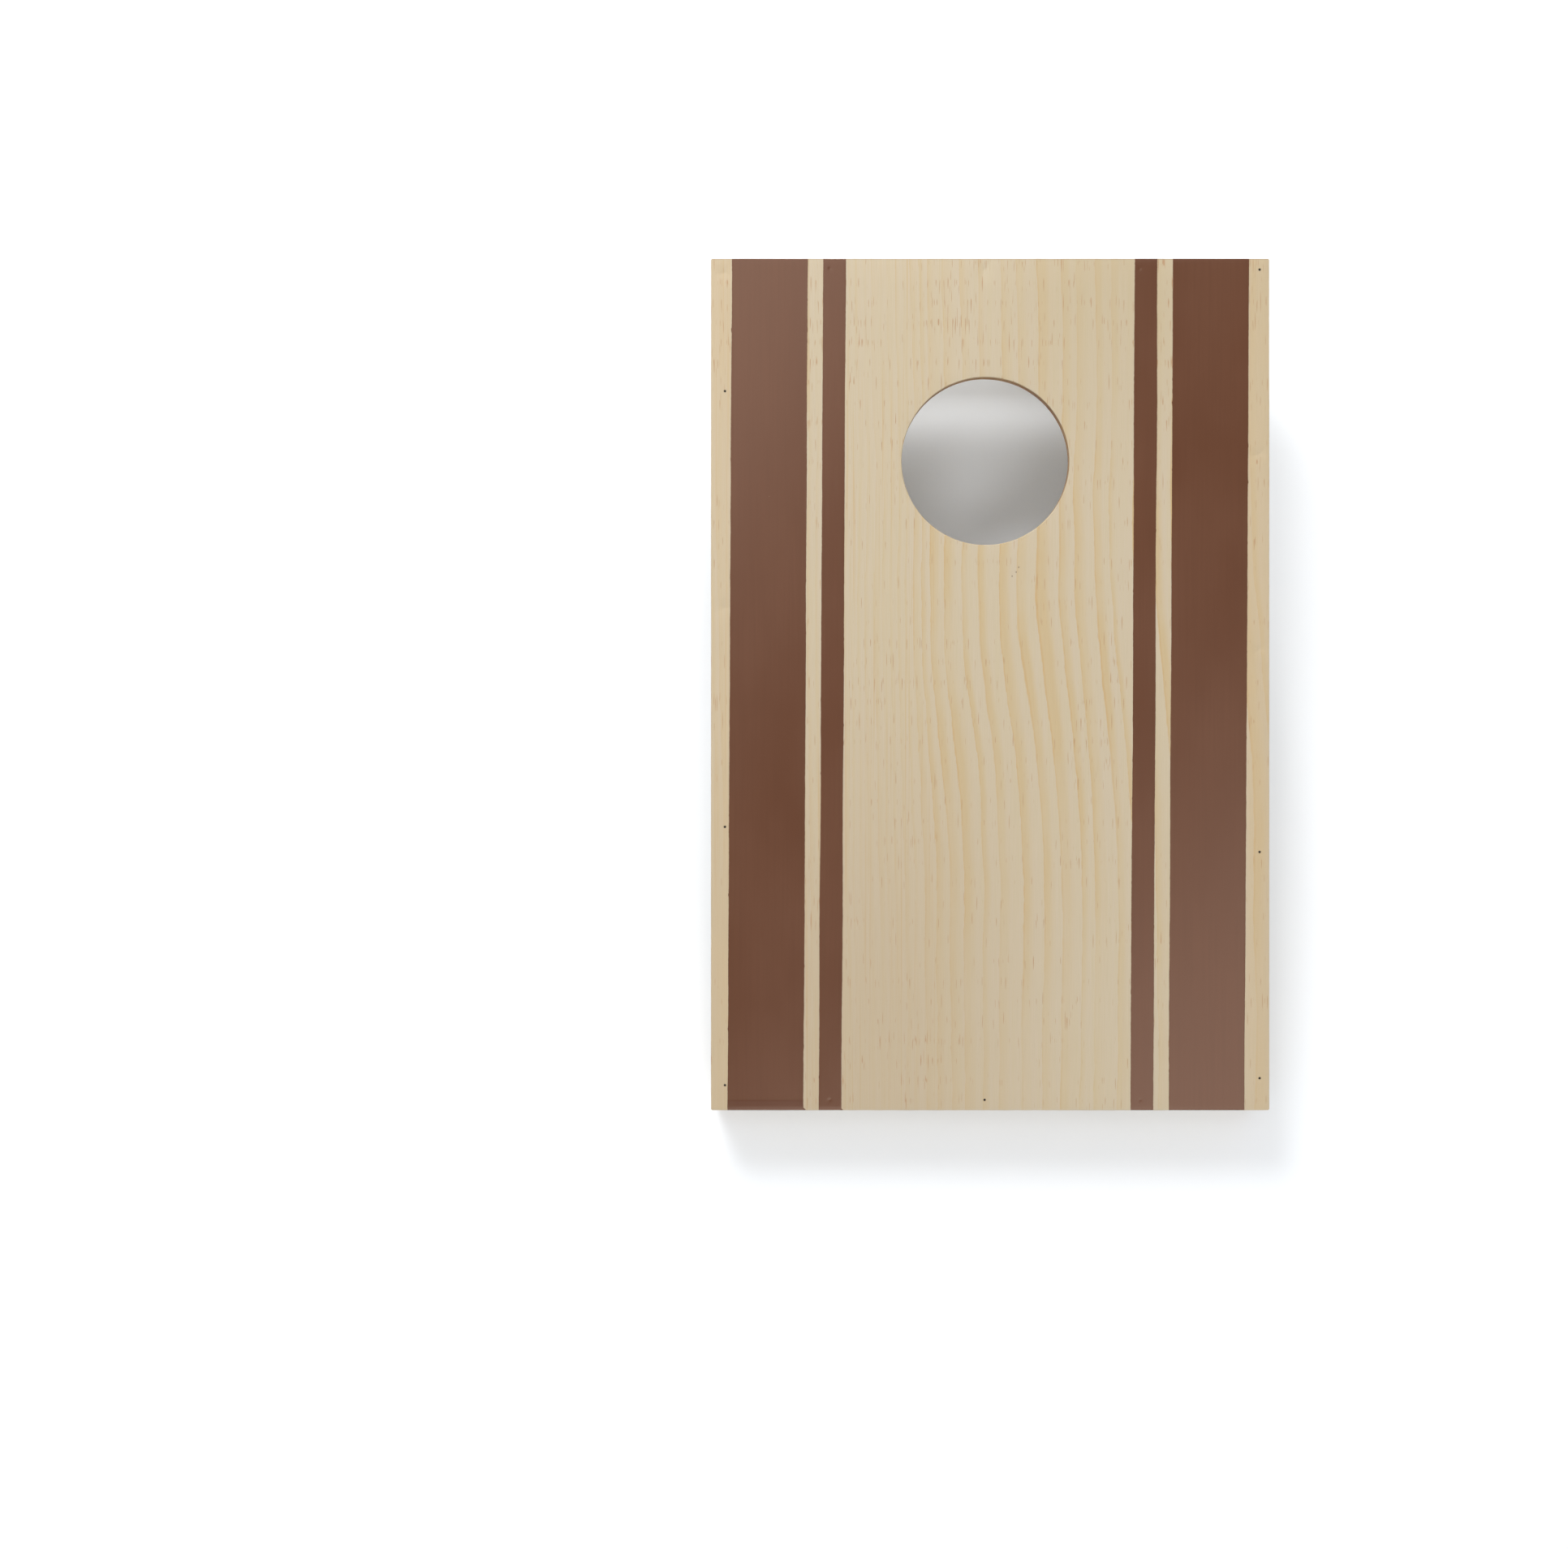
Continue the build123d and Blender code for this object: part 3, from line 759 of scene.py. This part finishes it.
def inward(side, x):
    """From a bolt's own axis, +Z, to its place: from x on the right or left, pointing inward."""
    z_axis = Vector((-side, 0, 0))
    x_axis = Vector((0, 1, 0))
    y_axis = z_axis.cross(x_axis)
    turn = Matrix((x_axis, y_axis, z_axis)).transposed().to_4x4()
    return DECK @ Matrix.Translation(Vector((side * x, *PIVOT)) * MM) @ turn


def pivot_bolt():
    """A carriage bolt: low dome, square neck, plain shank and a helical rolled thread."""
    dome = (HEAD_RADIUS ** 2 + HEAD_HEIGHT ** 2) / (2 * HEAD_HEIGHT)
    stations = [(0.02, -HEAD_HEIGHT)]
    for i in range(1, 15):
        r = HEAD_RADIUS * math.sin(math.pi / 2 * i / 14) * 0.985
        stations.append((r, dome - HEAD_HEIGHT - math.sqrt(dome * dome - r * r)))
    stations += [(HEAD_RADIUS, -0.25), (HEAD_RADIUS, -0.08), (HEAD_RADIUS - 0.15, 0.0), (3.5, 0.0)]
    stations += [(NECK_RADIUS, 0.01), (NECK_RADIUS, NECK_LENGTH), (BOLT_RADIUS, 4.0)]
    start = BOLT_LENGTH - THREAD_LENGTH - THREAD_RUN_IN
    stations += [(BOLT_RADIUS, 6.0), (BOLT_RADIUS, start - 0.2)]
    steps = int((THREAD_LENGTH + THREAD_RUN_IN) / THREAD_STEP)
    stations += [(BOLT_RADIUS, start + i * THREAD_STEP) for i in range(steps)]
    stations += [(BOLT_RADIUS - 0.35, BOLT_LENGTH - 0.05), (BOLT_RADIUS - 0.7, BOLT_LENGTH)]
    stations += [(0.02, BOLT_LENGTH)]

    def shape(radius, height, turn):
        # The neck is squared, and the thread is a groove that climbs one pitch each turn.
        if radius == NECK_RADIUS:
            square = radius / max(abs(math.cos(turn)), abs(math.sin(turn)))
            return min(square, radius * 1.3)
        if radius == BOLT_RADIUS and height > start:
            part = (height / THREAD_PITCH - turn / (2 * math.pi)) % 1.0
            cut = min(abs(part - 0.5) * 2.6, 1.0)
            run = min(max((height - start) / 1.5, 0.0), 1.0)
            end = min(max((BOLT_LENGTH - height) / 1.0, 0.25), 1.0)
            return radius - THREAD_DEPTH * (1 - cut) * run - 0.5 * (1 - end)
        return radius

    return lathe(stations, 64, shape)


def wing_outline():
    """One ear of a wing nut in its own plane, as a rounded outline of (across, up)."""
    tip, tip_radius = Vector((12.3, 12.2)), 4.0
    root, root_radius = Vector((3.6, 3.5)), 2.7
    along = (tip - root).normalized()
    swing = math.atan2(along.y, along.x)
    lean = math.acos((root_radius - tip_radius) / (tip - root).length)
    outline = []
    for i in range(17):
        turn = swing - lean + 2 * lean * i / 16
        outline.append(tip + tip_radius * Vector((math.cos(turn), math.sin(turn))))
    for i in range(13):
        turn = swing + lean + (2 * math.pi - 2 * lean) * i / 12
        outline.append(root + root_radius * Vector((math.cos(turn), math.sin(turn))))
    return outline


CASTING_DETAIL = 0.24  # the size of the cubes that the hub and ears are melted into


def wing_nut():
    """A cast wing nut: hub and ears melted together, then smoothed like a casting."""
    stations = [(3.15, 0.35), (3.6, 0.0), (6.2, 0.0), (6.5, 0.3), (6.45, 1.4), (5.9, 2.2), (5.3, 6.6),
                (5.1, 7.6), (4.8, 8.0), (3.6, 8.0), (3.15, 7.6)]
    points, faces = lathe(stations, 48, bored=True)
    outline = wing_outline()
    size = len(outline)
    # Each ear is a flat slab that gets thinner toward its tip.
    for side in (1, -1):
        first = len(points)
        for thick in (-1, 1):
            for p in outline:
                reach = (p.x - 3.0) / 13.0
                half = 1.45 - 0.45 * reach
                points.append((side * p.x, thick * half, max(p.y, 0.9)))
        faces.append(tuple(first + i for i in range(size)))
        faces.append(tuple(first + size + i for i in range(size)))
        faces += [(first + i, first + (i + 1) % size, first + size + (i + 1) % size, first + size + i)
                  for i in range(size)]
    mesh = bpy.data.meshes.new("wing_nut_blank")
    mesh.from_pydata([Vector(p) * MM for p in points], [], faces)
    blank = bpy.data.objects.new("wing_nut_blank", mesh)
    bpy.context.scene.collection.objects.link(blank)
    melt = blank.modifiers.new("melt", "REMESH")
    melt.mode = "VOXEL"
    melt.voxel_size = CASTING_DETAIL * MM
    soften = blank.modifiers.new("soften", "SMOOTH")
    soften.factor = 0.5
    soften.iterations = 5
    view = bpy.context.evaluated_depsgraph_get()
    cast = bpy.data.meshes.new_from_object(blank.evaluated_get(view))
    bpy.data.objects.remove(blank)
    return cast


# ---------------------------------------------------------------- the object

veneer = deck_material()
points, faces = deck()
make_piece("deck", points, faces, veneer, "frame", ["deck_panel"])

# Widths of the stripes, of the bare wood between two of them and of the bare middle.
WIDE, NARROW, GAP, CENTRE_BAND = 54.4, 16.3, 11.0, 207.0
narrow_at = (CENTRE_BAND + NARROW) / 2
wide_at = CENTRE_BAND / 2 + NARROW + GAP + WIDE / 2
# Each stripe's name, place, width, seed, width of faces, bleeds and lap.
stripe_plans = [
    ("left_wide", -wide_at, WIDE, 1.3, 1.6, [(0.6, 1.6, 0.9, 1)], 7.5),
    ("left_narrow", -narrow_at, NARROW, 4.1, 0.55, [(0.4, 1.1, 0.7, 1)], None),
    ("right_narrow", narrow_at, NARROW, 7.7, 0.55, [], None),
    ("right_wide", wide_at, WIDE, 9.2, 1.6, [], None),
]
for name, place, width, seed, column, bleeds, lap in stripe_plans:
    points, faces = stripe(place, width, seed, column, bleeds, lap)
    paint = paint_material(f"{name}_paint", seed, lap)
    make_piece(f"{name}_paint_film", points, faces, paint, "frame", [f"{name}_stripe"])

# Each board's axis of grain, the pith's place on the other two axes, seed and ring spacing.
pine = {
    "left_side_rail": (1, (-260.0, -95.0), 2.0, 4.6),
    "right_side_rail": (1, (248.0, -120.0), 5.0, 3.9),
    "front_rail": (0, (-62.0, -78.0), 8.0, 4.2),
    "rear_rail": (0, (560.0, -110.0), 11.0, 5.0),
    "left_leg": (2, (-230.0, 610.0), 14.0, 3.6),
    "right_leg": (2, (135.0, 545.0), 17.0, 4.1),
    "leg_stretcher": (0, (600.0, -160.0), 20.0, 3.4),
}
for node, (along, pith, seed, spacing) in pine.items():
    dress(pine_material(node + "_pine", along, pith, seed, spacing), node)

zinc = steel_material("zinc_plate", (0.66, 0.66, 0.64, 1), (0.5, 0.5, 0.49, 1), 0.34, 0.5)
cast_zinc = steel_material("cast_zinc", (0.6, 0.6, 0.59, 1), (0.42, 0.42, 0.42, 1), 0.42, 0.9)
screw_zinc = steel_material("screw_zinc", (0.7, 0.63, 0.42, 1), (0.55, 0.48, 0.3, 1), 0.3, 0.8)
brad_steel = steel_material("brad_steel", (0.06, 0.055, 0.05, 1), (0.035, 0.03, 0.028, 1), 0.55, 1.5)
dress(zinc, "left_spacer_washer", "right_spacer_washer", "left_nut_washer", "right_nut_washer")
dress(screw_zinc, "front_frame_screws", "rear_frame_screws", "stretcher_screws")
dress(brad_steel, "left_side_brads", "right_side_brads", "front_brads", "rear_brads")

for side, word in ((-1, "left"), (1, "right")):
    points, faces = pivot_bolt()
    make_piece(f"{word}_carriage_bolt", points, faces, zinc, "frame",
               [f"{word}_pivot_bolt"], inward(side, BOLT_SEAT))
    nut = bpy.data.objects.new(f"{word}_cast_wing_nut", wing_nut())
    bpy.context.scene.collection.objects.link(nut)
    settle(nut, cast_zinc, f"{word}_nut", [f"{word}_wing_nut"], inward(side, WASHER_INNER))

# ---------------------------------------------------------------- floor, light and camera

FLOOR = 6.0  # metres from the middle to a side
FLOOR_COLOUR = (0.887, 0.915, 0.945, 1)
floor_mesh = bpy.data.meshes.new("floor")
floor_mesh.from_pydata([(-FLOOR, -FLOOR, 0), (FLOOR, -FLOOR, 0), (FLOOR, FLOOR, 0), (-FLOOR, FLOOR, 0)],
                       [], [(0, 1, 2, 3)])
floor = bpy.data.objects.new("floor", floor_mesh)
bpy.context.scene.collection.objects.link(floor)
floor_shader = Shader("pale_floor")
floor_mesh.materials.append(floor_shader.finish(FLOOR_COLOUR, 0.9))


def area_light(name, place, aim, size, power):
    """A round lamp in metres and watts."""
    lamp = bpy.data.lights.new(name, "AREA")
    lamp.shape = "DISK"
    lamp.size = size
    lamp.energy = power
    holder = bpy.data.objects.new(name, lamp)
    bpy.context.scene.collection.objects.link(holder)
    holder.location = place
    holder.rotation_euler = (Vector(aim) - Vector(place)).to_track_quat("-Z", "Y").to_euler()


area_light("key", (-0.85, 1.5, 2.1), (0.0, 0.1, 0.0), 1.1, 33)
area_light("low_rear", (0.0, 1.75, 0.42), (0.0, 0.25, 0.0), 0.3, 14)


def studio_world():
    """Even pale surroundings. The ceiling has a dark diagonal band with bright areas beside it,
    and a bright patch toward the front, whose light falls through the hole to the floor."""
    world = bpy.data.worlds.new("studio")
    world.use_nodes = True
    nodes = Nodes(world.node_tree)
    direction = nodes.node("ShaderNodeTexCoord").outputs["Generated"]

    def along(*axis):
        """How far the direction points along an axis of the flat board."""
        dot = nodes.node("ShaderNodeVectorMath", operation="DOT_PRODUCT")
        nodes.feed(dot.inputs[0], direction)
        dot.inputs[1].default_value = (DECK.to_3x3() @ Vector(axis)).normalized()
        return dot.outputs["Value"]

    off_diagonal = nodes.math("ABSOLUTE", nodes.add(along(-1, 1, 0), 0.03))
    band = nodes.step(off_diagonal, 0.09, 0.14, low=-0.6, high=0.0)
    beside = nodes.step(off_diagonal, 0.12, 0.17, high=2.6)
    overhead = nodes.step(along(0, 0, 1), 0.9, 0.94)
    patch = nodes.step(along(0, -0.5, 0.87), 0.95, 0.995, high=3.6)
    strength = nodes.add(patch, nodes.times(nodes.add(band, beside), overhead), 0.63)
    background = world.node_tree.nodes["Background"]
    background.inputs["Color"].default_value = (1.0, 1.0, 1.0, 1)
    nodes.feed(background.inputs["Strength"], strength)
    return world


bpy.context.scene.world = studio_world()
bpy.context.scene.view_settings.view_transform = "Standard"

# The camera looks straight down on the sloping face from above its lower left part.
CAMERA_OVER = (-147.7, 240.5)
CAMERA_HEIGHT = 1470.0
SENSOR_WIDTH = 36.0
VIEW_WIDTH = 1123.0  # of the picture at the playing face
lens = bpy.data.cameras.new("camera")
lens.sensor_width = SENSOR_WIDTH
lens.lens = SENSOR_WIDTH * CAMERA_HEIGHT / VIEW_WIDTH
camera = bpy.data.objects.new("camera", lens)
bpy.context.scene.collection.objects.link(camera)
camera.matrix_world = DECK @ Matrix.Translation(Vector((*CAMERA_OVER, CAMERA_HEIGHT)) * MM)
bpy.context.scene.camera = camera
